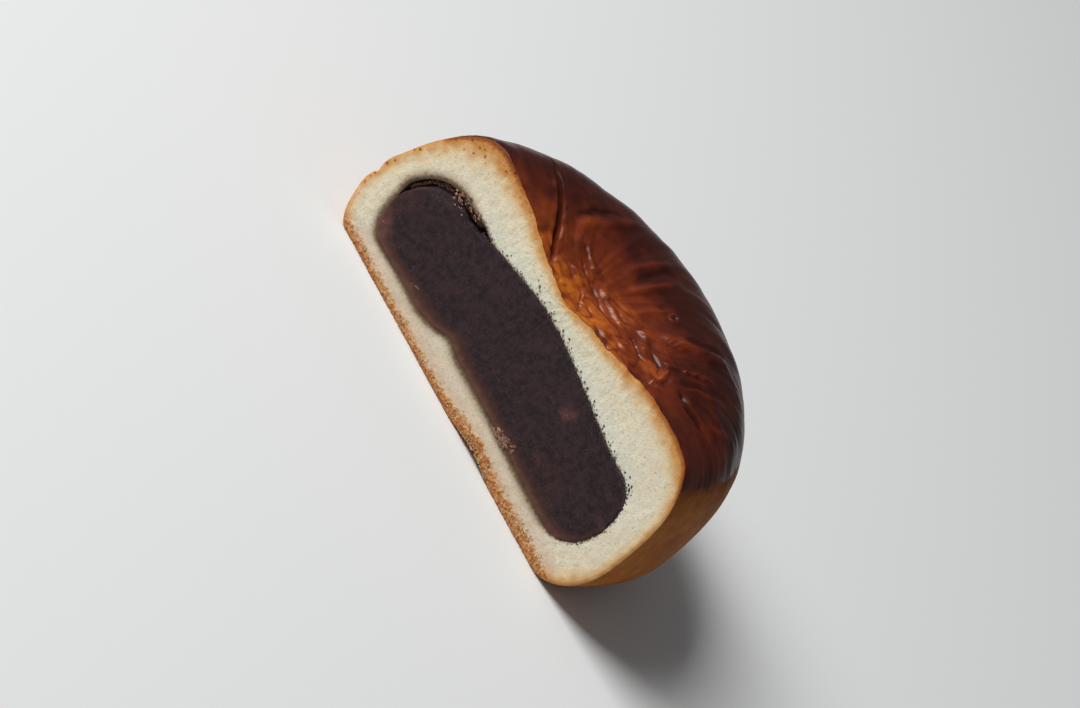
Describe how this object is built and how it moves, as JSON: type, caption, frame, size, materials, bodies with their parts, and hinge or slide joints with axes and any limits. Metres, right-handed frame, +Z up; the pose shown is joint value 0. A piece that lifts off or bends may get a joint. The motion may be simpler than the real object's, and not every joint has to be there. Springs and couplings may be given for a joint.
{
  "type": "anpan",
  "caption": "Half of a round baked sweet bun with a glossy dimpled top and a flat base, cut upright to show its smooth bean paste filling.",
  "frame": {"origin": "middle of the bounding box of the half bun, at the height of its flat base", "axes": "+Z up from the flat base to the glazed top, -Y out of the cut face, +X along the cut towards its higher, upright end"},
  "size_m": [0.0758, 0.042, 0.0358],
  "materials": {
    "bread": "baked dough: egg-glazed dark brown top with a satin shine, matte tan side, grainy toasted base and pale fine crumb at the cut",
    "bean_paste": "smooth dense dark purplish brown bean paste, matte and finely grained at the cut"
  },
  "bodies": {
    "root": {"bread": "bread", "bean_paste": "bean_paste"}
  },
  "joints": []
}
